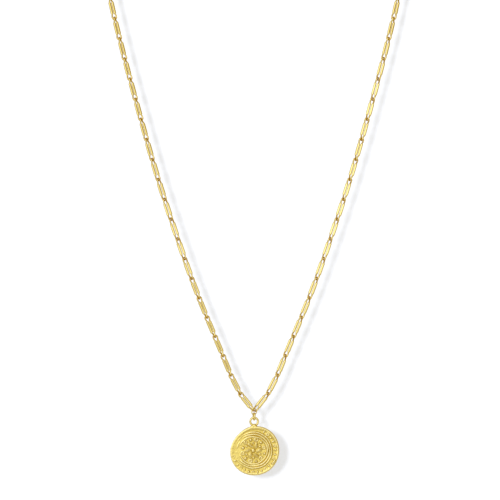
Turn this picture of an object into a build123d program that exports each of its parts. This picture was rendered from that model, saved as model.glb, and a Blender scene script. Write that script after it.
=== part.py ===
"""Coin necklace: two strands of long pinched links that meet in a V, with a cast coin below them.

Millimetres. The origin is at the nape, in the middle of the clasp. +Z is up and the front faces -Y.
"""

import os
from collections import namedtuple
from math import cos, pi, radians, sin, sqrt

from build123d import *

# Chain: the pitch is from joint to joint, and a joint is the middle of two linked eyes
PITCH = 6.24
LINK_WIRE = 0.48
LINK_GAP = 0.15
EYE_WIDTH = 0.82
EYE_LENGTH = 1.65
EYE_STRAIGHT = 0.25
EYE_BEND = 0.60
EYE_TURN = 45
RAIL_WIDTH = 0.74
RAIL_THICKNESS = 0.64
RAIL_ROUND = 0.20
RAIL_SLIT = 0.20
RAIL_OVER = 0.15
RAIL_BEND = 1.2

# Rings
CENTRE_RING_OUTER = 2.20
CENTRE_RING_WIRE = 0.30
CENTRE_RING_YAW = 40
CENTRE_RING_OFFSET = 0.60
CENTRE_RING_SLACK = 0.20
JUMP_RING_OUTER = 2.55
JUMP_RING_WIRE = 0.50
JUMP_RING_YAW = 12
COIN_RING_OUTER = 2.94
COIN_RING_WIRE = 0.64
RING_GAP = 0.10
CENTRE_RING_GAP = 0.13

# Coin
COIN_RADIUS = 7.45
COIN_THICKNESS = 1.50
COIN_EDGE_ROUND = 0.40
COIN_RING_SUNK = 0.06
RIM_WIDTH = 0.60
FIELD_DEPTH = 0.22
BACK_DEPTH = 0.10
SOLDER_RADIUS = 0.78
SOLDER_SUNK = 0.17
SOLDER_FRONT = 0.06
RELIEF_ACROSS = -0.25
RELIEF_UP = 0.20
RIDGE_RADII = (4.20, 4.88, 5.55)
RIDGE_HEIGHT = 0.20
PETALS = 6
PETAL_LENGTH = 1.80
PETAL_WIDTH = 0.95
PETAL_CIRCLE_RADIUS = 1.72
PETAL_HEIGHT = 0.20
PETAL_ROUND = 0.10
CENTRE_BEAD_RADIUS = 0.62
BEAD_COUNT = 12
BEAD_RADIUS = 0.33
BEAD_CIRCLE_RADIUS = 3.30
BAND_CIRCLE_RADIUS = 6.40
BAND_BEAD_RADIUS = 0.28
BAND_BAR_LENGTH = 0.80
BAND_BAR_WIDTH = 0.30
BAND_HEIGHT = 0.16

# Clasp at the nape
CLASP_OUTER = 5.80
CLASP_WIRE = 1.10
CLASP_EYE_OUTER = 2.30
CLASP_EYE_WIRE = 0.50
CLASP_EYE_SUNK = 0.10
END_RING_OUTER = 3.00
END_RING_WIRE = 0.45
CLASP_GAP = 0.14

# The coin's outline, as shares of its radius, anticlockwise from the right as seen from the front
COIN_OUTLINE = (1.015, 1.03, 0.99, 0.915, 0.96, 0.995, 0.99, 1.00)

# Route of one strand, from the lowest link up and round to the nape, where the last row is.
# Across is outwards from the middle, depth is back from the front, and height is up from the V.
RoutePoint = namedtuple("RoutePoint", "across depth height")
ROUTE = [
    RoutePoint(4.60, 0, 5.0),
    RoutePoint(8.85, 0, 14.4),
    RoutePoint(16.3, 0, 32.4),
    RoutePoint(22.8, 0, 50.4),
    RoutePoint(28.7, 0, 68.4),
    RoutePoint(34.7, 0, 89.4),
    RoutePoint(39.5, 0, 107.4),
    RoutePoint(43.1, 0, 122.4),
    RoutePoint(46.3, 2.0, 136.5),
    RoutePoint(49.5, 10.0, 149.5),
    RoutePoint(50.5, 24.0, 158.5),
    RoutePoint(46.5, 42.5, 163.5),
    RoutePoint(35.0, 58.5, 165.5),
    RoutePoint(18.0, 68.0, 166.0),
    RoutePoint(0.0, 70.0, 166.0),
]
NAPE_DEPTH = ROUTE[-1].depth
NAPE_HEIGHT = ROUTE[-1].height

# How far the links are turned about their own length, in degrees, at distances up each strand
Turn = namedtuple("Turn", "distance left right")
TURNS = [
    Turn(0, 20, -5),
    Turn(18, 30, -16),
    Turn(36, 28, -12),
    Turn(52, 6, 2),
    Turn(68, -10, 14),
    Turn(84, -24, 28),
    Turn(96, -28, 16),
    Turn(122, -32, -26),
    Turn(146, -20, -20),
    Turn(176, 0, 0),
    Turn(250, 45, 45),
    Turn(400, 45, 45),
]

JOINT_TO_TIP = LINK_WIRE + LINK_GAP / 2
EYE_RADIUS = (EYE_WIDTH + LINK_WIRE) / 2
RAIL_OUT = (RAIL_WIDTH + RAIL_SLIT) / 2


def centre_radius(outer, wire):
    """Radius of a ring's centre line."""
    return (outer - wire) / 2


def turn_at(distance, side):
    """Turn of the link at a distance up the strand on one side, between two rows of the table."""
    for low, high in zip(TURNS, TURNS[1:]):
        if distance <= high.distance:
            share = (distance - low.distance) / (high.distance - low.distance)
            first, last = (low.left, high.left) if side < 0 else (low.right, high.right)
            return first + share * (last - first)
    return 0


# Places of the rings, from the V down
FRONT_Y = -NAPE_DEPTH
V_Z = -NAPE_HEIGHT
CENTRE_R = centre_radius(CENTRE_RING_OUTER, CENTRE_RING_WIRE)
JUMP_R = centre_radius(JUMP_RING_OUTER, JUMP_RING_WIRE)
COIN_RING_R = centre_radius(COIN_RING_OUTER, COIN_RING_WIRE)
CENTRE_RING_Z = V_Z - CENTRE_RING_OUTER / 2
JUMP_TOP_Z = CENTRE_RING_Z - CENTRE_R + (CENTRE_RING_WIRE + JUMP_RING_WIRE) / 2 + CENTRE_RING_GAP
JUMP_RING_Z = JUMP_TOP_Z - JUMP_R
COIN_TOP_Z = JUMP_RING_Z - JUMP_R + (JUMP_RING_WIRE + COIN_RING_WIRE) / 2 + RING_GAP
COIN_RING_Z = COIN_TOP_Z - COIN_RING_R
# The coin's ring is sunk a little into the coin's edge, where it is soldered
COIN_DROP = COIN_RADIUS * COIN_OUTLINE[2] + COIN_RING_OUTER / 2 - COIN_RING_SUNK
COIN_Z = COIN_RING_Z - COIN_DROP


def strand_start(side):
    """First joint of a strand: its eye hangs on the centre ring, beside the other strand's."""
    yaw = radians(CENTRE_RING_YAW)
    out = Vector(cos(yaw), sin(yaw), 0) * (side * CENTRE_RING_OFFSET)
    up = sqrt(CENTRE_R**2 - CENTRE_RING_OFFSET**2)
    contact = Vector(0, FRONT_Y, CENTRE_RING_Z + up) + out
    first = ROUTE[0]
    lean = (Vector(side * first.across, FRONT_Y, V_Z + first.height) - contact).normalized()
    eye_to_joint = LINK_WIRE + CENTRE_RING_SLACK + CENTRE_RING_WIRE / 2 - JOINT_TO_TIP
    return contact - lean * eye_to_joint


def clasp_half():
    """Half the way from one strand's last tip to the other's, through the rings and the clasp."""
    into_link = LINK_WIRE + LINK_GAP + END_RING_WIRE / 2
    ring = 2 * centre_radius(END_RING_OUTER, END_RING_WIRE)
    into_clasp = (END_RING_WIRE + CLASP_WIRE) / 2 + CLASP_GAP
    body = 2 * centre_radius(CLASP_OUTER, CLASP_WIRE)
    eye_out = CLASP_WIRE / 2 + CLASP_EYE_OUTER - CLASP_EYE_SUNK - CLASP_EYE_WIRE / 2
    into_eye = (END_RING_WIRE + CLASP_EYE_WIRE) / 2 + CLASP_GAP
    return (2 * ring + body + eye_out - 2 * into_link - into_clasp - into_eye) / 2


CLASP_HALF = clasp_half()


def side_points(side):
    """Points of one strand, from its start to the last one before the nape."""
    return [strand_start(side)] + [
        Vector(side * row.across, row.depth - NAPE_DEPTH, row.height - NAPE_HEIGHT)
        for row in ROUTE[:-1]
    ]


# The whole loop is one smooth curve, from the left strand's lowest joint to the right strand's
with BuildLine() as loop:
    Spline(*side_points(-1), Vector(0, 0, 0), *reversed(side_points(1)))
loop_line = loop.edges()[0]
strand_length = loop_line.length / 2 - CLASP_HALF - JOINT_TO_TIP
LINKS = round(strand_length / PITCH)
SPACING = strand_length / LINKS
LINK_LENGTH = SPACING + 2 * JOINT_TO_TIP
print("loop", round(loop_line.length, 1), "links a side", LINKS, "spacing", round(SPACING, 3))


def joint_point(side, number):
    """A joint of one strand, counted from its lowest eye."""
    share = number * SPACING / loop_line.length
    return loop_line.position_at(share if side < 0 else 1 - share)


def strand_planes(side):
    """One plane for each link of a strand: Z along the link, X across its two rails."""
    planes = []
    face = Vector(0, -1, 0)
    for i in range(LINKS):
        low = joint_point(side, i)
        high = joint_point(side, i + 1)
        along = (high - low).normalized()
        face = (face - along * face.dot(along)).normalized()
        across = face.cross(along)
        turn = radians(-turn_at((i + 0.5) * SPACING, side))
        turned = across * cos(turn) + face * sin(turn)
        planes.append(Plane(origin=(low + high) / 2, x_dir=turned, z_dir=along))
    return planes


def eye_across(plane):
    """Direction across a link's upper eye."""
    turn = radians(EYE_TURN)
    return plane.x_dir * cos(turn) + plane.y_dir * sin(turn)


# Upper half of the wire of one link: up one rail, round the turned eye and down the other rail
eye_top = LINK_LENGTH / 2 - LINK_WIRE / 2
eye_low = LINK_LENGTH / 2 - LINK_WIRE - EYE_LENGTH
leg_top = eye_top - EYE_RADIUS - EYE_STRAIGHT
turned_across = Vector(cos(radians(EYE_TURN)), sin(radians(EYE_TURN)), 0)
eye_side = turned_across * EYE_RADIUS
half_wire = [
    Vector(RAIL_OUT, 0, 0),
    Vector(RAIL_OUT, 0, eye_low),
    eye_side + Vector(0, 0, leg_top),
    eye_side + Vector(0, 0, eye_top),
    eye_side * -1 + Vector(0, 0, eye_top),
    eye_side * -1 + Vector(0, 0, leg_top),
    Vector(-RAIL_OUT, 0, eye_low),
    Vector(-RAIL_OUT, 0, 0),
]
tip_bend = EYE_RADIUS * 0.96
with BuildPart() as upper_half:
    with BuildLine() as wire:
        FilletPolyline(
            *half_wire,
            radius=[RAIL_BEND, EYE_BEND, tip_bend, tip_bend, EYE_BEND, RAIL_BEND],
        )
    with BuildSketch(Plane(origin=wire.line @ 0, z_dir=wire.line % 0)):
        Circle(LINK_WIRE / 2)
    sweep()

# One link: both halves of its wire, and the two broad rails that are pinched together
rail_half = eye_low + RAIL_OVER
with BuildPart() as link:
    add(upper_half.part)
    add(upper_half.part.rotate(Axis.X, 180))
    with BuildSketch(Plane.XY.offset(-rail_half)):
        with Locations((RAIL_OUT, 0), (-RAIL_OUT, 0)):
            RectangleRounded(RAIL_WIDTH, RAIL_THICKNESS, RAIL_ROUND)
    extrude(amount=2 * rail_half)
print("link", "solids", len(link.part.solids()), "faces", len(link.part.faces()))


def strand(name, side):
    """A whole strand: the same link at each plane, every link loose in the next."""
    planes = strand_planes(side)
    links = [link.part.solid().moved(plane.location) for plane in planes]
    chain = Compound(label=name, children=links)
    return chain, planes[-1]


def ring(name, centre, axis, outer, wire):
    """A closed ring of round wire."""
    with BuildPart(Plane(origin=centre, z_dir=axis)) as piece:
        Torus(centre_radius(outer, wire), wire / 2)
    piece.part.label = name
    return piece.part


chain_left, last_left = strand("chain_left", -1)
chain_right, last_right = strand("chain_right", 1)

# Rings between the strands and the coin
yaw = radians(CENTRE_RING_YAW)
centre_ring = ring(
    "centre_ring",
    Vector(0, FRONT_Y, CENTRE_RING_Z),
    Vector(-sin(yaw), cos(yaw), 0),
    CENTRE_RING_OUTER,
    CENTRE_RING_WIRE,
)
jump_ring = ring(
    "jump_ring",
    Vector(0, FRONT_Y, JUMP_RING_Z),
    Vector(cos(radians(JUMP_RING_YAW)), sin(radians(JUMP_RING_YAW)), 0),
    JUMP_RING_OUTER,
    JUMP_RING_WIRE,
)

# Coin pendant: X across and Y up as seen from the front, Z towards the front
coin_plane = Plane(origin=(0, FRONT_Y, COIN_Z), x_dir=(1, 0, 0), z_dir=(0, -1, 0))
front = COIN_THICKNESS / 2
field = front - FIELD_DEPTH


def coin_outline(inset):
    """Points of the coin's edge, taken in by an inset."""
    points = []
    for i, share in enumerate(COIN_OUTLINE):
        angle = 2 * pi * i / len(COIN_OUTLINE)
        reach = COIN_RADIUS * share - inset
        points.append((reach * cos(angle), reach * sin(angle)))
    return points


with BuildSketch(Plane.XY) as coin_face:
    with BuildLine():
        Spline(*coin_outline(0), periodic=True)
    make_face()
with BuildSketch(Plane.XY) as field_face:
    with BuildLine():
        Spline(*coin_outline(RIM_WIDTH), periodic=True)
    make_face()

with BuildPart() as petal:
    with BuildSketch():
        Ellipse(PETAL_LENGTH / 2, PETAL_WIDTH / 2)
    extrude(amount=PETAL_HEIGHT, both=True)
    fillet(petal.faces().sort_by(Axis.Z)[-1].edges(), PETAL_ROUND)

with BuildPart() as coin:
    with BuildSketch(Plane.XY.offset(-front)):
        add(coin_face.sketch)
    extrude(amount=COIN_THICKNESS)
    fillet(coin.edges(), COIN_EDGE_ROUND)
    with BuildSketch(Plane.XY.offset(front)):
        add(field_face.sketch)
    extrude(amount=-FIELD_DEPTH, mode=Mode.SUBTRACT)
    with BuildSketch(Plane.XY.offset(-front)):
        add(field_face.sketch)
    extrude(amount=BACK_DEPTH, mode=Mode.SUBTRACT)

    # Worn ridges round the inner field
    for radius in RIDGE_RADII:
        with Locations((RELIEF_ACROSS, RELIEF_UP, field)):
            Torus(radius, RIDGE_HEIGHT)

    # Rosette: petals round a bead
    with Locations((RELIEF_ACROSS, RELIEF_UP, field)):
        Sphere(CENTRE_BEAD_RADIUS)
        with PolarLocations(PETAL_CIRCLE_RADIUS, PETALS):
            add(petal.part)

    # Beads round the rosette
    with Locations((RELIEF_ACROSS, RELIEF_UP, field)):
        with PolarLocations(BEAD_CIRCLE_RADIUS, BEAD_COUNT, start_angle=15):
            Sphere(BEAD_RADIUS)

    # Plain marks in the band outside the ridges: two beads and a bar by turns
    for i, angle in enumerate(range(-165, 75, 12)):
        spot = Location((0, 0, field)) * Location((0, 0, 0), (0, 0, 1), angle)
        with Locations(spot * Location((BAND_CIRCLE_RADIUS, 0, 0))):
            if i % 3 != 1:
                Sphere(BAND_BEAD_RADIUS)
            else:
                Box(
                    BAND_BAR_LENGTH,
                    BAND_BAR_WIDTH,
                    2 * BAND_HEIGHT,
                )

    # Ring at the top, and the lump of solder that holds it
    with Locations((0, COIN_DROP, 0)):
        Torus(COIN_RING_R, COIN_RING_WIRE / 2)
    with Locations((0, COIN_DROP - COIN_RING_R - SOLDER_SUNK, SOLDER_FRONT)):
        Sphere(SOLDER_RADIUS)
coin_pendant = coin.part.moved(coin_plane.location)
coin_pendant.label = "coin_pendant"

# Clasp: rings lie in line along X between the strands' last tips
into_link = LINK_WIRE + LINK_GAP + END_RING_WIRE / 2
end_r = centre_radius(END_RING_OUTER, END_RING_WIRE)
clasp_r = centre_radius(CLASP_OUTER, CLASP_WIRE)
clasp_eye_r = centre_radius(CLASP_EYE_OUTER, CLASP_EYE_WIRE)
end_x = -CLASP_HALF - into_link + end_r
clasp_x = end_x + end_r - (END_RING_WIRE + CLASP_WIRE) / 2 - CLASP_GAP + clasp_r
clasp_ring_x = CLASP_HALF + into_link - end_r
clasp_eye_x = clasp_x + CLASP_OUTER / 2 - CLASP_EYE_SUNK + CLASP_EYE_OUTER / 2

end_ring = ring(
    "end_ring", Vector(end_x, 0, 0), eye_across(last_left), END_RING_OUTER, END_RING_WIRE
)
clasp_ring = ring(
    "clasp_ring", Vector(clasp_ring_x, 0, 0), eye_across(last_right), END_RING_OUTER, END_RING_WIRE
)
with BuildPart() as clasp:
    with Locations((clasp_x, 0, 0)):
        Torus(clasp_r, CLASP_WIRE / 2)
    with Locations((clasp_eye_x, 0, 0)):
        Torus(clasp_eye_r, CLASP_EYE_WIRE / 2)
clasp.part.label = "clasp"

os.makedirs("parts", exist_ok=True)
export_step(chain_left, "parts/chain_left.step")
export_step(chain_right, "parts/chain_right.step")
export_step(centre_ring, "parts/centre_ring.step")
export_step(jump_ring, "parts/jump_ring.step")
export_step(coin_pendant, "parts/coin_pendant.step")
export_step(end_ring, "parts/end_ring.step")
export_step(clasp_ring, "parts/clasp_ring.step")
export_step(clasp.part, "parts/clasp.step")
print("coin top", round(COIN_TOP_Z, 3), "jump top", round(JUMP_TOP_Z, 3), "coin", round(COIN_Z, 3))
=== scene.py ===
# %% [markdown]
# # A coin necklace
#
# The necklace is two strands of long gold links. They meet in a V on a small ring, and a worn cast
# coin hangs below it. A link is a pinched loop of wire: two thick rails that nearly touch, with a
# turned eye at each end that the next link passes through.
#
# The engineering model is loaded first. It says where every link, ring and the coin are, so nothing
# below is placed by eye. All lengths are in metres, and `MM` makes millimetres easy to write.

from math import atan2, cos, hypot, pi, radians, sin

import bmesh
import bpy
import numpy as np
from mathutils import Matrix, Vector


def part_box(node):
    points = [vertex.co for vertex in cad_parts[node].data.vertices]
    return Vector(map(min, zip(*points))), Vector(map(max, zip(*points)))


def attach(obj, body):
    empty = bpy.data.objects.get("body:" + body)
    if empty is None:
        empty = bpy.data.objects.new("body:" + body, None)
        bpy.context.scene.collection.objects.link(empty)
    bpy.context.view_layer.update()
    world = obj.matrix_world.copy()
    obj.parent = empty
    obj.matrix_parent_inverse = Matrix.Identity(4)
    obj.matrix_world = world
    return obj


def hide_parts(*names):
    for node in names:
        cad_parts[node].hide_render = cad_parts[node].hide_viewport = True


MM = 0.001
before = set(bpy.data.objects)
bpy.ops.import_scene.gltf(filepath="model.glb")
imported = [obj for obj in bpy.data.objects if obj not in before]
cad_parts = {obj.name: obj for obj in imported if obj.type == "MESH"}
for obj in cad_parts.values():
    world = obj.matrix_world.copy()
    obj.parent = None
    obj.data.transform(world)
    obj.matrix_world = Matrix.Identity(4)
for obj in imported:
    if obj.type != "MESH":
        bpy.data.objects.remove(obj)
scene = bpy.context.scene
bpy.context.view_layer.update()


def middle(node):
    """Middle of a node's box."""
    low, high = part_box(node)
    return (Vector(low) + Vector(high)) / 2


def size(node):
    """Lengths of a node's box."""
    low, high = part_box(node)
    return Vector(high) - Vector(low)


FRONT_Y = middle("centre_ring").y
V_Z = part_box("centre_ring")[1][2]
print("front plane", round(FRONT_Y, 4), "V at", round(V_Z, 4))

# %% [markdown]
# ## Camera
#
# The photo looks straight at the hanging necklace. A long lens from nearly a metre away keeps the
# strands flat, as there. The picture is 150 mm wide at the front of the necklace, and the V lies a
# little right of its middle and low in it.

# %% Camera
PICTURE_WIDTH = 150 * MM
CAMERA_AWAY = 900 * MM
PHOTO_PIXELS = 500
V_PIXEL = (254.1, 408)
pixel = PICTURE_WIDTH / PHOTO_PIXELS
look_x = (PHOTO_PIXELS / 2 - V_PIXEL[0]) * pixel
look_z = V_Z + (V_PIXEL[1] - PHOTO_PIXELS / 2) * pixel
bpy.ops.object.camera_add(
    location=(look_x, FRONT_Y - CAMERA_AWAY, look_z),
    rotation=(radians(90), 0, 0),
)
camera = bpy.context.object
camera.name = "photo_camera"
camera.data.sensor_width = 36
camera.data.lens = camera.data.sensor_width * CAMERA_AWAY / PICTURE_WIDTH
camera.data.clip_start = 0.01
scene.camera = camera
print("lens", round(camera.data.lens, 1), "mm, looking at height", round(look_z, 4))

# %% [markdown]
# ## Small tools for modelling
#
# Operators act on whatever is selected, so each step first selects what it needs. A finished piece
# keeps its object at the origin, with its place in its mesh.


# %% Tools for modelling
def deselect():
    bpy.ops.object.select_all(action="DESELECT")


def only(thing):
    """Selects one object and makes it the active one."""
    deselect()
    thing.select_set(True)
    bpy.context.view_layer.objects.active = thing


def settle(thing):
    """Puts an object's place, turn and scale into its mesh."""
    only(thing)
    bpy.ops.object.transform_apply(location=True, rotation=True, scale=True)


def join(things, name):
    """Joins objects into one, with a name."""
    deselect()
    for thing in things:
        thing.select_set(True)
    bpy.context.view_layer.objects.active = things[0]
    bpy.ops.object.join()
    whole = bpy.context.object
    whole.name = name
    whole.data.name = name
    settle(whole)
    return whole


def modify(thing, kind, **settings):
    """Adds a modifier and applies it."""
    only(thing)
    modifier = thing.modifiers.new(kind.lower(), kind)
    for key, value in settings.items():
        setattr(modifier, key, value)
    bpy.ops.object.modifier_apply(modifier=modifier.name)


def smooth(thing, angle=40):
    only(thing)
    bpy.ops.object.shade_smooth_by_angle(angle=radians(angle))


def triangles(thing):
    thing.data.calc_loop_triangles()
    return len(thing.data.loop_triangles)


# %% [markdown]
# ## Where each link lies
#
# A strand is one node that holds many loose links. Its triangles are split into loose islands, and
# the spread of each island's surface gives the link's own directions: the longest is its length, and
# the next is the way across its two rails. A link looks the same after half a turn about any of its
# three axes, so it doesn't matter which way round these come out.


# %% Find the links
def islands(node):
    """Loose parts of a node's mesh, as lists of triangles' corners."""
    mesh = bmesh.new()
    mesh.from_mesh(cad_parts[node].data)
    bmesh.ops.remove_doubles(mesh, verts=mesh.verts, dist=0.0005 * MM)
    found = []
    seen = set()
    for start in mesh.verts:
        if start.index in seen:
            continue
        seen.add(start.index)
        group = [start]
        for vert in group:
            for edge in vert.link_edges:
                other = edge.other_vert(vert)
                if other.index not in seen:
                    seen.add(other.index)
                    group.append(other)
        faces = {face for vert in group for face in vert.link_faces}
        found.append(np.array([[list(v.co) for v in face.verts[:3]] for face in faces]))
    mesh.free()
    return found


def link_place(corners):
    """Place of one link, from the spread of its surface."""
    a, b, c = corners[:, 0], corners[:, 1], corners[:, 2]
    area = np.linalg.norm(np.cross(b - a, c - a), axis=1) / 2
    centre = (corners.mean(axis=1) * area[:, None]).sum(axis=0) / area.sum()
    local = corners - centre
    total = local.sum(axis=1)
    spread = np.einsum("n,nki,nkj->ij", area, local, local)
    spread += np.einsum("n,ni,nj->ij", area, total, total)
    axes = np.linalg.eigh(spread)[1]
    along = Vector(axes[:, 2])
    across = Vector(axes[:, 1])
    up = along.cross(across)
    turn = Matrix((across, up, along)).transposed().to_4x4()
    return Matrix.Translation(Vector(centre)) @ turn


link_places = {}
for node in ("chain_left", "chain_right"):
    places = [link_place(corners) for corners in islands(node)]
    link_places[node] = sorted(places, key=lambda place: place.translation.z)
    print(node, "has", len(places), "links")

first_link = islands("chain_left")[0]
to_first = link_place(first_link).inverted()
heights = [(to_first @ Vector(point)).z for point in first_link.reshape(-1, 3)]
LINK_LENGTH = max(heights) - min(heights)
print("a link is", round(LINK_LENGTH / MM, 3), "mm long")

# %% [markdown]
# ## One link
#
# A link starts as a closed curve through the middle of its wire, with a round bevel. The wire is
# thicker where the rails are, because the metal is pinched there. Each eye is turned an eighth of a
# turn out of the flat, one each way, so that two linked eyes cross at a right angle.

# %% Bend the wire of a link
WIRE = 0.48 * MM
EYE_RADIUS = 0.65 * MM
EYE_LENGTH = 1.65 * MM
EYE_STRAIGHT = 0.25 * MM
EYE_TURN = radians(45)
RAIL_WIDTH = 0.78 * MM
RAIL_OUT = 0.485 * MM
RAIL_LONGER = 0.12 * MM
LEG_LONGER = 0.12 * MM
SHOULDER = 0.26 * MM
SHOULDER_IN = 0.16
SHOULDER_LEAN = 0.14
SHOULDER_THICK = 1.04
# Length of a curve's handle, as a share of the radius, that makes a quarter of a circle
ROUND_HANDLE = 0.552
UP = Vector((0, 0, 1))

tip = LINK_LENGTH / 2 - WIRE / 2
rail_end = LINK_LENGTH / 2 - WIRE - EYE_LENGTH + RAIL_LONGER
leg_top = tip - EYE_RADIUS
side = Vector((cos(EYE_TURN), sin(EYE_TURN), 0)) * EYE_RADIUS
rail = Vector((RAIL_OUT, 0, 0))
along_rail = UP * rail_end * 0.5
along_leg = UP * (EYE_STRAIGHT + LEG_LONGER)
round_tip = ROUND_HANDLE * side
round_side = ROUND_HANDLE * EYE_RADIUS * UP
thick = RAIL_WIDTH / WIRE
shoulder = UP * (rail_end + SHOULDER) + rail.lerp(side, SHOULDER_IN)
shoulder_back = UP * (rail_end + SHOULDER) - rail.lerp(side, SHOULDER_IN)
lean = (side - rail) * SHOULDER_LEAN
rise = UP * SHOULDER * 0.5
leave_rail = UP * SHOULDER * 0.4

# Columns: point, handle before it, handle after it, thickness of the wire
upper_knots = [
    (rail + UP * rail_end, -along_rail, leave_rail, thick),
    (shoulder, -lean - rise, lean + rise, SHOULDER_THICK),
    (side + UP * leg_top, -along_leg, round_side, 1),
    (UP * tip, round_tip, -round_tip, 1),
    (-side + UP * leg_top, round_side, -along_leg, 1),
    (shoulder_back, rise - lean, lean - rise, SHOULDER_THICK),
    (-rail + UP * rail_end, leave_rail, -along_rail, thick),
]
half_turn = Matrix.Rotation(pi, 3, "X")
lower_knots = [
    (half_turn @ point, half_turn @ after, half_turn @ before, radius)
    for point, before, after, radius in reversed(upper_knots)
]
knots = upper_knots + lower_knots

deselect()
bpy.ops.curve.primitive_bezier_curve_add()
wire = bpy.context.object
spline = wire.data.splines[0]
spline.bezier_points.add(len(knots) - len(spline.bezier_points))
spline.use_cyclic_u = True
spline.radius_interpolation = "EASE"
for knot, (point, before, after, radius) in zip(spline.bezier_points, knots):
    knot.handle_left_type = "FREE"
    knot.handle_right_type = "FREE"
    knot.co = point
    knot.handle_left = point + before
    knot.handle_right = point + after
    knot.radius = radius
wire.data.dimensions = "3D"
wire.data.resolution_u = 8
wire.data.bevel_depth = WIRE / 2
wire.data.bevel_resolution = 5
only(wire)
bpy.ops.object.convert(target="MESH")
link = bpy.context.object
link.name = "link"
bpy.ops.object.mode_set(mode="EDIT")
bpy.ops.mesh.select_all(action="SELECT")
bpy.ops.mesh.remove_doubles(threshold=0.001 * MM)
bpy.ops.mesh.normals_make_consistent(inside=False)
bpy.ops.object.mode_set(mode="OBJECT")
print("link wire:", len(link.data.vertices), "points,", triangles(link), "triangles")

# %% [markdown]
# The rails are pressed: their round wire is pushed into a block with flat faces and soft corners.
# The press lets go before the legs of the eyes begin, so the wire runs out of the rail smoothly.

# %% Press the rails
RAIL_THICKNESS = 0.64 * MM
PRESS_OVER = 0.10 * MM
PRESS_FADE = 0.25 * MM
SQUARENESS = 3


def fade(value, start, end):
    """Runs smoothly from 0 at the start to 1 at the end."""
    t = min(max((value - start) / (end - start), 0), 1)
    return t * t * (3 - 2 * t)


def block_reach(dx, dy, half_width, half_depth):
    """How far a soft-cornered block reaches in a direction."""
    far = hypot(dx, dy) or 1
    share = abs(dx / far / half_width) ** SQUARENESS + abs(dy / far / half_depth) ** SQUARENESS
    return share ** (-1 / SQUARENESS)


pressed = 0
for vert in link.data.vertices:
    press = fade(abs(vert.co.z), rail_end + PRESS_OVER, rail_end - PRESS_FADE)
    if not press:
        continue
    centre_x = RAIL_OUT if vert.co.x > 0 else -RAIL_OUT
    dx = vert.co.x - centre_x
    dy = vert.co.y
    reach = block_reach(dx, dy, RAIL_WIDTH / 2, RAIL_THICKNESS / 2)
    grow = 1 + press * (reach / hypot(dx, dy) - 1)
    vert.co.x = centre_x + dx * grow
    vert.co.y = dy * grow
    pressed += 1
smooth(link, 60)
print("pressed", pressed, "points")

# %% [markdown]
# ## Hollows and high spots
#
# Gold stays bright where it is rubbed and dulls where nothing reaches. The same share also paints
# light and shade: a pale painted highlight on high spots and darker painted shade in hollows. A copy
# of the mesh is smoothed hard. Where the copy lies above the surface there is a hollow, and where it
# lies below there is a high spot. The share is kept on the mesh, and the gold's material reads it
# later. Grime and painted contact shade also gather at the tips of a link's eyes, where the next link
# rubs.

# %% Find the hollows
SOFTEN_ROUNDS = 14
LINK_HOLLOW = 0.07 * MM
GRIME_AND_SHADE_REACH = 0.70 * MM
GRIME_AND_SHADE_SHARE = 0.40


def find_hollows(thing, depth):
    """Stores 1 in hollows of a depth, 0.5 on flat surfaces and 0 on high spots."""
    soft = thing.copy()
    soft.data = thing.data.copy()
    scene.collection.objects.link(soft)
    modify(soft, "SMOOTH", factor=0.5, iterations=SOFTEN_ROUNDS)
    hollows = thing.data.attributes.new("hollow", "FLOAT", "POINT")
    for i, vert in enumerate(thing.data.vertices):
        above = (soft.data.vertices[i].co - vert.co).dot(vert.normal)
        hollows.data[i].value = min(max(0.5 + 0.5 * above / depth, 0), 1)
    bpy.data.objects.remove(soft)


find_hollows(link, LINK_HOLLOW)
# The eye tips are marked darker: grime mixed with painted shade where the next link sits close.
eye_grime_and_shade = link.data.attributes["hollow"].data
for vert, kept in zip(link.data.vertices, eye_grime_and_shade):
    grime_and_shade = fade(abs(vert.co.z), tip - GRIME_AND_SHADE_REACH, tip)
    kept.value = max(kept.value, 0.5 + GRIME_AND_SHADE_SHARE * grime_and_shade)
print("hollows found on", len(link.data.vertices), "points of the link")

# %% [markdown]
# ## The two strands
#
# The link is copied once for each link that was found, and each copy is laid in its place. The copies
# of one strand are then joined. They stay loose in each other, as in a real chain.

# %% Lay the links
strands = []
for node, places in link_places.items():
    copies = []
    for place in places:
        copy = link.copy()
        copy.data = link.data.copy()
        scene.collection.objects.link(copy)
        copy.data.transform(place)
        copies.append(copy)
    strand = join(copies, node + "_links")
    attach(strand, "chain")
    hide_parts(node)
    strands.append(strand)
    print(strand.name, triangles(strand), "triangles")
bpy.data.objects.remove(link)

# %% [markdown]
# ## Rings
#
# Each small ring is a piece of round wire, bent until its ends meet. A circle is spun nearly all the
# way round, which leaves the fine cut that a jump ring has. The cut is turned away from where the
# ring hangs.


# %% Bend the rings
RING_CUT = 0.03 * MM
RING_STEPS = 60
RING_HOLLOW = 0.20 * MM
# Columns: width of the wire, and degrees from the ring's highest point to its cut
ring_table = {
    "centre_ring": (0.33 * MM, 75),
    "jump_ring": (0.52 * MM, 100),
    "end_ring": (0.45 * MM, 20),
    "clasp_ring": (0.45 * MM, -20),
}


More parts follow.
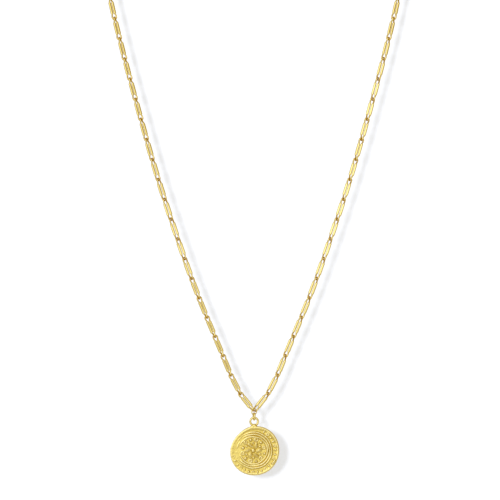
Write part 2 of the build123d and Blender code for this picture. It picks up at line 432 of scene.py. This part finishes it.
def bent_ring(node, wire_width, cut_at):
    """A ring of wire on a node's place, with its cut at an angle from its highest point."""
    place = link_place(islands(node)[0])
    centre = place.translation
    axis = place.col[1].to_3d().normalized()
    outer = max(size(node))
    radius = (outer - wire_width) / 2
    top = (UP - axis * UP.dot(axis)).normalized()
    start = Matrix.Rotation(radians(cut_at), 3, axis) @ top
    section = Matrix((start, start.cross(axis), axis)).transposed()
    section = section @ Matrix.Rotation(radians(90), 3, "X")
    deselect()
    bpy.ops.mesh.primitive_circle_add(
        vertices=18,
        radius=wire_width / 2,
        fill_type="NGON",
        location=centre + start * radius,
        rotation=section.to_euler(),
    )
    ring = bpy.context.object
    settle(ring)
    bpy.ops.object.mode_set(mode="EDIT")
    bpy.ops.mesh.select_all(action="SELECT")
    turn = 2 * pi - RING_CUT / radius
    bpy.ops.mesh.spin(steps=RING_STEPS, angle=turn, center=centre, axis=axis, dupli=False)
    bpy.ops.mesh.select_all(action="SELECT")
    bpy.ops.mesh.normals_make_consistent(inside=False)
    bpy.ops.object.mode_set(mode="OBJECT")
    ring.name = node + "_wire"
    smooth(ring)
    find_hollows(ring, RING_HOLLOW)
    print(ring.name, "radius", round(radius / MM, 3), "mm,", triangles(ring), "triangles")
    return ring


rings = []
for node, (wire_width, cut_at) in ring_table.items():
    ring = bent_ring(node, wire_width, cut_at)
    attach(ring, "jump_ring" if node == "jump_ring" else "chain")
    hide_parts(node)
    rings.append(ring)

# %% [markdown]
# ## The coin's blank
#
# The coin is modelled lying flat, with its face up, and is stood up at the end. Its blank is a thick
# disc with a raised rim, made by insetting both faces. Its edge is worn out of round, so the disc's
# points are moved out or in by a share that depends on their direction. On the left the rim is rubbed
# down to the field.

# %% Coin blank
COIN_RADIUS = 7.45 * MM
COIN_THICKNESS = 1.50 * MM
RING_OUTER = 2.94 * MM
RING_WIRE = 0.64 * MM
RING_SUNK = 0.06 * MM
RIM_TOP = 0.186 * MM
RIM_SLOPE = 0.496 * MM
BACK_RIM_TOP = 0.31 * MM
BACK_RIM_SLOPE = 0.434 * MM
FIELD_DEPTH = 0.20 * MM
BACK_DEPTH = 0.12 * MM
EDGE_ROUND = 0.36 * MM
RIM_WORN = 0.85
WORN_FROM = 1.0 * MM
WORN_TO = 5.0 * MM
# Shares of the radius, anticlockwise from the right
COIN_OUTLINE = (1.015, 1.03, 0.99, 0.915, 0.96, 0.995, 0.99, 1.00)
COIN_DROP = COIN_RADIUS * COIN_OUTLINE[2] + RING_OUTER / 2 - RING_SUNK
coin_face = COIN_THICKNESS / 2
field = coin_face - FIELD_DEPTH


def outline_share(angle):
    """Share of the radius in one direction, on a smooth line through the outline's shares."""
    count = len(COIN_OUTLINE)
    place = (angle / (2 * pi) * count) % count
    at = int(place)
    t = place - at
    before, here, there, beyond = (COIN_OUTLINE[(at + step) % count] for step in (-1, 0, 1, 2))
    bend = 2 * before - 5 * here + 4 * there - beyond
    twist = 3 * (here - there) + beyond - before
    return here + 0.5 * t * (there - before + t * (bend + t * twist))


def select_faces(thing, test):
    """In edit mode, selects the faces that pass a test."""
    mesh = bmesh.from_edit_mesh(thing.data)
    for face in mesh.faces:
        face.select = test(face)
    mesh.select_flush_mode()
    bmesh.update_edit_mesh(thing.data)


deselect()
bpy.ops.mesh.primitive_cylinder_add(
    vertices=144, radius=COIN_RADIUS, depth=COIN_THICKNESS, end_fill_type="NGON"
)
blank = bpy.context.object
bpy.ops.object.mode_set(mode="EDIT")
bpy.ops.mesh.select_mode(type="FACE")
select_faces(blank, lambda face: abs(face.normal.z) > 0.9)
bpy.ops.mesh.bevel(offset=EDGE_ROUND, segments=4, affect="EDGES")
select_faces(blank, lambda face: face.normal.z > 0.99 and len(face.verts) > 8)
bpy.ops.mesh.inset(thickness=RIM_TOP)
bpy.ops.mesh.inset(thickness=RIM_SLOPE)
bpy.ops.transform.translate(value=(0, 0, -FIELD_DEPTH))
select_faces(blank, lambda face: face.normal.z < -0.99 and len(face.verts) > 8)
bpy.ops.mesh.inset(thickness=BACK_RIM_TOP)
bpy.ops.mesh.inset(thickness=BACK_RIM_SLOPE)
bpy.ops.transform.translate(value=(0, 0, BACK_DEPTH))
bpy.ops.object.mode_set(mode="OBJECT")
for vert in blank.data.vertices:
    share = outline_share(atan2(vert.co.y, vert.co.x))
    vert.co.x *= share
    vert.co.y *= share
    if vert.co.z > field:
        worn = fade(-vert.co.x, WORN_FROM, WORN_TO)
        vert.co.z -= RIM_WORN * worn * (vert.co.z - field)
print("blank", [round(v / MM, 2) for v in blank.dimensions])

# %% [markdown]
# ## The coin's relief
#
# The face has a rosette in the middle, a circle of beads, three ridges round them, and a band of
# leaves, dots and ringed dots by the rim. It was struck by hand, off centre, so no two forms are quite
# alike. Every form is a simple shape, sunk to about its middle in the field. The left side has been
# rubbed for years, so the forms sink deeper there, and the ridges fade out.

# %% Shapes for the relief
STRUCK_X = -0.25 * MM
STRUCK_Y = 0.20 * MM
RUBBED_SINK = 0.12 * MM
RIDGE_RUBBED_SINK = 0.30 * MM
RIDGE_WAVER = 0.012
RIDGE_FINE_WAVER = 0.006
RIDGE_SQUASH = 0.97
RIDGE_SWELL = 0.3
HOOP_LIFT = 0.3
BALL_STRAY = 0.06 * MM
hand = np.random.default_rng(11)
relief = []


def uneven(amount):
    """A factor near 1, as a hand makes."""
    return 1 + amount * hand.uniform(-1, 1)


def add_form(thing, sink=RUBBED_SINK):
    """Keeps a form, with its left sunk into the coin where it is rubbed away."""
    settle(thing)
    for vert in thing.data.vertices:
        vert.co.z -= sink * fade(-vert.co.x, WORN_FROM, WORN_TO)
    relief.append(thing)


def ridge(radius, height):
    """A round ridge whose line wavers and whose height swells and dips."""
    bpy.ops.mesh.primitive_torus_add(
        major_segments=120,
        minor_segments=10,
        major_radius=radius,
        minor_radius=height,
        location=(STRUCK_X, STRUCK_Y, field),
    )
    thing = bpy.context.object
    start = hand.uniform(0, 2 * pi)
    for vert in thing.data.vertices:
        angle = atan2(vert.co.y, vert.co.x)
        waver = 1 + RIDGE_WAVER * sin(3 * angle + start)
        waver += RIDGE_FINE_WAVER * sin(8 * angle - start)
        vert.co.x *= waver
        vert.co.y *= waver * RIDGE_SQUASH
        vert.co.z *= 1 + RIDGE_SWELL * sin(5 * angle + 2 * start)
    add_form(thing, RIDGE_RUBBED_SINK)


def ball(x, y, radius, sunk):
    """A dot, sunk by a share of its radius."""
    place = (
        x + BALL_STRAY * hand.normal(),
        y + BALL_STRAY * hand.normal(),
        field - radius * sunk,
    )
    bpy.ops.mesh.primitive_uv_sphere_add(
        segments=16, ring_count=10, radius=radius * uneven(0.12), location=place
    )
    thing = bpy.context.object
    thing.scale.x = uneven(0.15)
    add_form(thing)


def hoop(x, y, radius, height):
    """A small round ridge, for a ringed dot."""
    bpy.ops.mesh.primitive_torus_add(
        major_segments=32,
        minor_segments=8,
        major_radius=radius,
        minor_radius=height,
        location=(x, y, field + height * HOOP_LIFT),
    )
    thing = bpy.context.object
    thing.scale.x = uneven(0.12)
    add_form(thing)


def petal(x, y, length, width, height, turn):
    """A long oval, for petals and leaves."""
    bpy.ops.mesh.primitive_uv_sphere_add(
        segments=24,
        ring_count=12,
        radius=1,
        location=(x, y, field),
        rotation=(0, 0, turn * uneven(0.01)),
    )
    thing = bpy.context.object
    thing.scale = (length / 2 * uneven(0.08), width / 2 * uneven(0.10), height)
    add_form(thing)


def around(radius, angle):
    """A point on a circle round the middle of the strike."""
    return STRUCK_X + radius * cos(angle), STRUCK_Y + radius * sin(angle)


# %% [markdown]
# Now the forms are laid out, from the ridges inwards and then out to the rim. A petal has a broad oval
# below and a narrow one on it as its rib. The band of marks leaves out the worn upper left.

# %% Lay out the relief
PETALS = 6
PETAL_CIRCLE = 1.72 * MM
PETAL_SWIRL = radians(24)
ROSETTE_DOT_CIRCLE = 2.30 * MM
BEADS = 12
BEAD_CIRCLE = 3.30 * MM
BEAD_START = radians(15)
BAND_CIRCLE = 6.42 * MM

deselect()
# Columns: radius, height
for radius, height in ((4.20, 0.27), (4.88, 0.29), (5.55, 0.27)):
    ridge(radius * MM, height * MM)

ball(STRUCK_X, STRUCK_Y, 0.70 * MM, 0.25)
for i in range(PETALS):
    angle = 2 * pi * i / PETALS
    x, y = around(PETAL_CIRCLE, angle)
    # Columns: length, width, height
    for length, width, height in ((1.90, 1.08, 0.32), (1.50, 0.30, 0.52)):
        petal(x, y, length * MM, width * MM, height * MM, angle + PETAL_SWIRL)
    x, y = around(ROSETTE_DOT_CIRCLE, angle + pi / PETALS)
    ball(x, y, 0.33 * MM, 0.0)

for i in range(BEADS):
    x, y = around(BEAD_CIRCLE, 2 * pi * i / BEADS + BEAD_START)
    if i % 2:
        ball(x, y, 0.46 * MM, 0.1)
    else:
        ball(x, y, 0.22 * MM, -0.1)
        hoop(x, y, 0.44 * MM, 0.16 * MM)

for i, degrees in enumerate(range(-165, 75, 12)):
    angle = radians(degrees)
    x = BAND_CIRCLE * cos(angle)
    y = BAND_CIRCLE * sin(angle)
    if i % 3 == 0:
        hoop(x, y, 0.38 * MM, 0.14 * MM)
        ball(x, y, 0.17 * MM, 0.0)
    elif i % 3 == 1:
        petal(x, y, 1.10 * MM, 0.50 * MM, 0.30 * MM, angle)
    else:
        ball(x, y, 0.36 * MM, 0.15)
print(len(relief), "forms in relief")

# %% [markdown]
# The ring at the top is soldered on, and the solder ran down over the rim in soft lumps. A knock on the
# rim at the lower right has pushed up a burr that catches the light.

# %% Solder, top ring and burr
ring_radius = (RING_OUTER - RING_WIRE) / 2
bpy.ops.mesh.primitive_torus_add(
    major_segments=64,
    minor_segments=20,
    major_radius=ring_radius,
    minor_radius=RING_WIRE / 2,
    location=(0, COIN_DROP, 0),
)
settle(bpy.context.object)
relief.append(bpy.context.object)
# Columns: across, up, forward, half width, half height, half thickness
solder = [
    (0.00, 7.52, 0.05, 0.85, 0.60, 0.58),
    (-0.45, 7.18, 0.40, 0.72, 0.42, 0.36),
    (0.40, 7.16, 0.38, 0.60, 0.40, 0.34),
    (-1.05, 6.88, 0.52, 0.66, 0.28, 0.24),
    (-0.05, 6.85, 0.52, 0.70, 0.30, 0.24),
]
for across, high, forward, half_width, half_height, half_thick in solder:
    bpy.ops.mesh.primitive_ico_sphere_add(
        subdivisions=3, radius=1, location=Vector((across, high, forward)) * MM
    )
    lump = bpy.context.object
    lump.scale = Vector((half_width, half_height, half_thick)) * MM
    settle(lump)
    relief.append(lump)

BURR_TURN = radians(56)
# Columns: across, down, below the face, half length, half width, half thickness
burrs = [
    (5.88, 3.22, 0.04, 1.15, 0.25, 0.26),
    (6.08, 3.42, 0.12, 0.80, 0.20, 0.26),
]
for across, down, below, half_length, half_width, half_thick in burrs:
    bpy.ops.mesh.primitive_uv_sphere_add(
        segments=32,
        ring_count=16,
        radius=1,
        location=(across * MM, -down * MM, coin_face - below * MM),
        rotation=(0, 0, BURR_TURN),
    )
    burr = bpy.context.object
    burr.scale = Vector((half_length, half_width, half_thick)) * MM
    settle(burr)
    relief.append(burr)

# %% [markdown]
# The photo doesn't show the back. It gets two low ridges with seven low bosses inside them, rubbed
# nearly flat.

# %% Back of the coin
BACK_RIDGE_HEIGHT = 0.14 * MM
BOSS_CIRCLE = 1.35 * MM
BOSS_RADIUS = 0.55 * MM
BOSS_FLATNESS = 0.30
back_field = coin_face - BACK_DEPTH
for radius in (4.9, 5.6):
    bpy.ops.mesh.primitive_torus_add(
        major_segments=120,
        minor_segments=10,
        major_radius=radius * MM,
        minor_radius=BACK_RIDGE_HEIGHT,
        location=(0.15 * MM, -0.10 * MM, -back_field),
    )
    settle(bpy.context.object)
    relief.append(bpy.context.object)
for i in range(PETALS + 1):
    spread = BOSS_CIRCLE if i < PETALS else 0
    angle = 2 * pi * i / PETALS
    bpy.ops.mesh.primitive_uv_sphere_add(
        segments=32,
        ring_count=16,
        radius=BOSS_RADIUS,
        location=(spread * cos(angle), spread * sin(angle), -back_field),
    )
    boss = bpy.context.object
    boss.scale = (1, 1, BOSS_FLATNESS)
    settle(boss)
    relief.append(boss)

# %% [markdown]
# ## Cast in one piece
#
# All forms are joined and remeshed into one skin, which rounds every inner corner as casting does. Two
# rounds of smoothing wear it, and two faint displacements dent it. Then it is stood up in the place of
# the engineering coin.

# %% Cast the coin
COIN_VOXEL = 0.077 * MM
COIN_HOLLOW = 0.035 * MM
coin = join([blank] + relief, "coin_casting")
modify(coin, "REMESH", mode="VOXEL", voxel_size=COIN_VOXEL, use_smooth_shade=True)
modify(coin, "SMOOTH", factor=0.5, iterations=2)
# Columns: name, width of the dents, depth of the dents
for name, width, depth in (("dents", 2.4, 0.09), ("pits", 0.6, 0.03)):
    clouds = bpy.data.textures.new(name, "CLOUDS")
    clouds.noise_scale = width * MM
    modify(coin, "DISPLACE", texture=clouds, strength=depth * MM, mid_level=0.5)
coin_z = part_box("coin_pendant")[1][2] - COIN_DROP - RING_OUTER / 2
coin.data.transform(Matrix.Rotation(radians(90), 4, "X"))
coin.data.transform(Matrix.Translation((0, FRONT_Y, coin_z)))
find_hollows(coin, COIN_HOLLOW)
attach(coin, "pendant")
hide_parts("coin_pendant")
print("coin", triangles(coin), "triangles")

# %% [markdown]
# ## Clasp
#
# The photo doesn't show the clasp. It is a plain ring of thick wire with a small eye soldered to it,
# and two fine collars where the wire's ends meet.

# %% Clasp
CLASP_WIRE = 1.10 * MM
CLASP_EYE_OUTER = 2.30 * MM
CLASP_EYE_WIRE = 0.50 * MM
CLASP_SOLDER = 0.42 * MM
CLASP_SOLDER_OUT = 0.08 * MM
COLLAR_WIRE = 0.14 * MM
COLLAR_SUNK = 0.02 * MM
CLASP_VOXEL = 0.055 * MM
CLASP_HOLLOW = 0.05 * MM
clasp_low, clasp_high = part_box("clasp")
clasp_outer = clasp_high[1] - clasp_low[1]
clasp_x = clasp_low[0] + clasp_outer / 2
clasp_radius = (clasp_outer - CLASP_WIRE) / 2
deselect()
bpy.ops.mesh.primitive_torus_add(
    major_segments=96,
    minor_segments=28,
    major_radius=clasp_radius,
    minor_radius=CLASP_WIRE / 2,
    location=(clasp_x, 0, 0),
)
clasp_parts = [bpy.context.object]
bpy.ops.mesh.primitive_torus_add(
    major_segments=64,
    minor_segments=18,
    major_radius=(CLASP_EYE_OUTER - CLASP_EYE_WIRE) / 2,
    minor_radius=CLASP_EYE_WIRE / 2,
    location=(clasp_high[0] - CLASP_EYE_OUTER / 2, 0, 0),
)
clasp_parts.append(bpy.context.object)
bpy.ops.mesh.primitive_ico_sphere_add(
    subdivisions=3,
    radius=CLASP_SOLDER,
    location=(clasp_x + clasp_outer / 2 + CLASP_SOLDER_OUT, 0, 0),
)
clasp_parts.append(bpy.context.object)
for angle in (radians(60), radians(84)):
    bpy.ops.mesh.primitive_torus_add(
        major_segments=48,
        minor_segments=10,
        major_radius=CLASP_WIRE / 2 - COLLAR_SUNK,
        minor_radius=COLLAR_WIRE / 2,
        location=(clasp_x + clasp_radius * cos(angle), clasp_radius * sin(angle), 0),
        rotation=(radians(90), 0, angle),
    )
    clasp_parts.append(bpy.context.object)
clasp = join(clasp_parts, "clasp_ring_body")
modify(clasp, "REMESH", mode="VOXEL", voxel_size=CLASP_VOXEL, use_smooth_shade=True)
modify(clasp, "SMOOTH", factor=0.5, iterations=2)
find_hollows(clasp, CLASP_HOLLOW)
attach(clasp, "chain")
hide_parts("clasp")
print("clasp", triangles(clasp), "triangles")

# %% [markdown]
# ## Gold
#
# Polished gold is a metal with a pale yellow colour. It is never even: its colour drifts a little, the
# high spots are painted paler, partly as rubbed wear and partly as a painted highlight, and the hollows
# are painted a darker, redder colour, partly tarnish and partly painted shade. The patterns are read
# from the object's own coordinates, turned into millimetres, so they stay put when a piece moves.


# %% Gold materials
def noise(tree, coordinates, scale, detail, roughness=0.5):
    """Output of a noise pattern that is read at the coordinates."""
    pattern = tree.nodes.new("ShaderNodeTexNoise")
    pattern.inputs["Scale"].default_value = scale
    pattern.inputs["Detail"].default_value = detail
    pattern.inputs["Roughness"].default_value = roughness
    tree.links.new(coordinates, pattern.inputs["Vector"])
    return pattern.outputs["Fac"]


def gold(name, rubbed_and_highlight, flat, tarnish_and_shade, drift, polished, dull, grain, grain_scale):
    """A gold whose colours run from painted highlight and wear on high spots to painted shade and
    tarnish in hollows, with an uneven polish.
    """
    material = bpy.data.materials.new(name)
    material.use_nodes = True
    tree = material.node_tree
    connect = tree.links.new
    shader = tree.nodes["Principled BSDF"]
    shader.inputs["Metallic"].default_value = 1

    place = tree.nodes.new("ShaderNodeTexCoord")
    in_mm = tree.nodes.new("ShaderNodeMapping")
    in_mm.inputs["Scale"].default_value = (1 / MM, 1 / MM, 1 / MM)
    connect(place.outputs["Object"], in_mm.inputs["Vector"])
    millimetres = in_mm.outputs["Vector"]

    hollow = tree.nodes.new("ShaderNodeAttribute")
    hollow.attribute_name = "hollow"
    # The ramp paints a pale highlight mixed with rubbed wear on high spots, and painted shade mixed
    # with tarnish in hollows.
    colours = tree.nodes.new("ShaderNodeValToRGB")
    ramp = colours.color_ramp.elements
    ramp[0].position = 0.15
    ramp[0].color = (*rubbed_and_highlight, 1)
    ramp[1].position = 0.95
    ramp[1].color = (*tarnish_and_shade, 1)
    middle_colour = ramp.new(0.52)
    middle_colour.color = (*flat, 1)
    connect(hollow.outputs["Fac"], colours.inputs["Fac"])

    amount = tree.nodes.new("ShaderNodeMapRange")
    amount.inputs["From Min"].default_value = 0.35
    amount.inputs["From Max"].default_value = 0.70
    amount.inputs["To Max"].default_value = drift
    connect(noise(tree, millimetres, scale=0.45, detail=5), amount.inputs["Value"])
    # A colour mix has its two colours at inputs 6 and 7, and its result at output 2
    drifted = tree.nodes.new("ShaderNodeMix")
    drifted.data_type = "RGBA"
    drifted.inputs[7].default_value = (*tarnish_and_shade, 1)
    connect(amount.outputs["Result"], drifted.inputs["Factor"])
    connect(colours.outputs["Color"], drifted.inputs[6])
    connect(drifted.outputs[2], shader.inputs["Base Color"])

    rubs = noise(tree, millimetres, scale=2.2, detail=6, roughness=0.7)
    polish = tree.nodes.new("ShaderNodeMapRange")
    polish.inputs["From Min"].default_value = 0.3
    polish.inputs["From Max"].default_value = 0.7
    polish.inputs["To Min"].default_value = polished
    polish.inputs["To Max"].default_value = dull
    connect(rubs, polish.inputs["Value"])
    connect(polish.outputs["Result"], shader.inputs["Roughness"])

    bump = tree.nodes.new("ShaderNodeBump")
    bump.inputs["Distance"].default_value = grain
    bump.inputs["Strength"].default_value = 0.6
    connect(noise(tree, millimetres, scale=grain_scale, detail=5), bump.inputs["Height"])
    connect(bump.outputs["Normal"], shader.inputs["Normal"])
    return material


# Each gold's colour for high spots is partly a painted highlight, and its colour for hollows partly
# painted shade.
chain_gold = gold(
    "chain_gold_polish",
    rubbed_and_highlight=(0.92, 0.82, 0.44),
    flat=(0.85, 0.73, 0.31),
    tarnish_and_shade=(0.54, 0.31, 0.025),
    drift=0.14,
    polished=0.14,
    dull=0.26,
    grain=0.010 * MM,
    grain_scale=4,
)
coin_gold = gold(
    "coin_gold_wear_and_painted_light",
    rubbed_and_highlight=(1.00, 0.92, 0.56),
    flat=(0.76, 0.61, 0.17),
    tarnish_and_shade=(0.50, 0.33, 0.04),
    drift=0.20,
    polished=0.18,
    dull=0.32,
    grain=0.020 * MM,
    grain_scale=3,
)


def dress(thing, material):
    thing.data.materials.clear()
    thing.data.materials.append(material)


for thing in strands + rings + [clasp]:
    dress(thing, chain_gold)
dress(coin, coin_gold)

# %% [markdown]
# ## Backdrop and light
#
# In the photo the necklace hangs in front of a white wall and throws a soft shadow to the right. The
# wall here is one card, far enough behind the strands that the coin can swing back and not touch it.
# It is seen from the front only, so that the necklace can also be looked at from behind. The floor is
# far below.

# %% Backdrop and floor
WALL_BEHIND = 19 * MM
WALL_WIDTH = 240 * MM
WALL_BELOW_V = 50 * MM
WALL_ABOVE_V = 126 * MM
FLOOR_BELOW_V = 120 * MM
FLOOR_WIDTH = 1600 * MM
wall_low = V_Z - WALL_BELOW_V
wall_high = V_Z + WALL_ABOVE_V
deselect()
bpy.ops.mesh.primitive_plane_add(
    size=1,
    location=(0, FRONT_Y + WALL_BEHIND, (wall_low + wall_high) / 2),
    rotation=(radians(90), 0, 0),
)
wall = bpy.context.object
wall.name = "white_card"
wall.scale = (WALL_WIDTH, wall_high - wall_low, 1)
settle(wall)
wall_paint = bpy.data.materials.new("white_card_paint")
wall_paint.use_nodes = True
tree = wall_paint.node_tree
paint = tree.nodes["Principled BSDF"]
paint.inputs["Base Color"].default_value = (0.39, 0.413, 0.48, 1)
paint.inputs["Roughness"].default_value = 0.9
paint.inputs["Emission Color"].default_value = (1, 1, 1, 1)
paint.inputs["Emission Strength"].default_value = 0.46
paint.inputs["Specular IOR Level"].default_value = 0
clear = tree.nodes.new("ShaderNodeBsdfTransparent")
choose = tree.nodes.new("ShaderNodeMixShader")
which_side = tree.nodes.new("ShaderNodeNewGeometry")
tree.links.new(which_side.outputs["Backfacing"], choose.inputs["Fac"])
tree.links.new(paint.outputs["BSDF"], choose.inputs[1])
tree.links.new(clear.outputs["BSDF"], choose.inputs[2])
tree.links.new(choose.outputs["Shader"], tree.nodes["Material Output"].inputs["Surface"])
wall.data.materials.append(wall_paint)
wall.visible_glossy = False

bpy.ops.mesh.primitive_plane_add(size=FLOOR_WIDTH, location=(0, 0, V_Z - FLOOR_BELOW_V))
floor = bpy.context.object
floor.name = "pale_floor"
settle(floor)
floor_paint = bpy.data.materials.new("pale_floor_paint")
floor_paint.use_nodes = True
paint = floor_paint.node_tree.nodes["Principled BSDF"]
paint.inputs["Base Color"].default_value = (0.90, 0.93, 1, 1)
paint.inputs["Roughness"].default_value = 0.7
floor.data.materials.append(floor_paint)
print("card", [round(v / MM) for v in wall.dimensions])

# %% [markdown]
# The room is a soft tent. It is white and brightest in front, a little to the left and above. It
# falls to a warm brown at the sides, which draws the edges of the gold, and is pale yellow behind.
# Looked at directly it is plain white. One lamp gives the shadow on the card. The gold doesn't mirror
# it, so no link flashes white.

# %% Light
TENT_BRIGHT = Vector((-0.38, -0.88, 0.28)).normalized()
TENT_STRENGTH = 0.935
# Columns: share of the way from right behind to the brightest place, and colour
tent_colours = [
    (0.00, (0.95, 0.84, 0.56)),
    (0.22, (0.60, 0.47, 0.20)),
    (0.45, (0.52, 0.38, 0.12)),
    (0.68, (0.64, 0.50, 0.22)),
    (0.86, (0.98, 0.94, 0.80)),
    (0.94, (1.36, 1.36, 1.32)),
    (1.00, (2.00, 2.00, 2.00)),
]
world = bpy.data.worlds.new("studio")
scene.world = world
world.use_nodes = True
tree = world.node_tree
tent = tree.nodes["Background"]
direction = tree.nodes.new("ShaderNodeTexCoord")
towards = tree.nodes.new("ShaderNodeVectorMath")
towards.operation = "DOT_PRODUCT"
towards.inputs[1].default_value = TENT_BRIGHT
share = tree.nodes.new("ShaderNodeMapRange")
share.inputs["From Min"].default_value = -1
share.inputs["From Max"].default_value = 1
tent_ramp = tree.nodes.new("ShaderNodeValToRGB")
ramp = tent_ramp.color_ramp.elements
for place, colour in tent_colours[1:-1]:
    ramp.new(place)
for element, (place, colour) in zip(ramp, tent_colours):
    element.position = place
    element.color = (*colour, 1)
tree.links.new(direction.outputs["Generated"], towards.inputs[0])
tree.links.new(towards.outputs["Value"], share.inputs["Value"])
tree.links.new(share.outputs["Result"], tent_ramp.inputs["Fac"])
tree.links.new(tent_ramp.outputs["Color"], tent.inputs["Color"])
tent.inputs["Strength"].default_value = TENT_STRENGTH

plain = tree.nodes.new("ShaderNodeBackground")
plain.inputs["Color"].default_value = (1, 1, 1, 1)
seen = tree.nodes.new("ShaderNodeLightPath")
either = tree.nodes.new("ShaderNodeMixShader")
tree.links.new(seen.outputs["Is Camera Ray"], either.inputs["Fac"])
tree.links.new(tent.outputs["Background"], either.inputs[1])
tree.links.new(plain.outputs["Background"], either.inputs[2])
tree.links.new(either.outputs["Shader"], tree.nodes["World Output"].inputs["Surface"])

KEY_LEFT = radians(8.8)
KEY_UP = radians(6.5)
KEY_SOFTNESS = radians(4.6)
deselect()
bpy.ops.object.light_add(type="SUN", location=(-0.3, -0.8, 0.1))
key = bpy.context.object
key.name = "key_lamp"
key.rotation_euler = (radians(90) - KEY_UP, 0, -KEY_LEFT)
key.data.energy = 2.0
key.data.angle = KEY_SOFTNESS
key.visible_glossy = False
scene.view_settings.view_transform = "Standard"
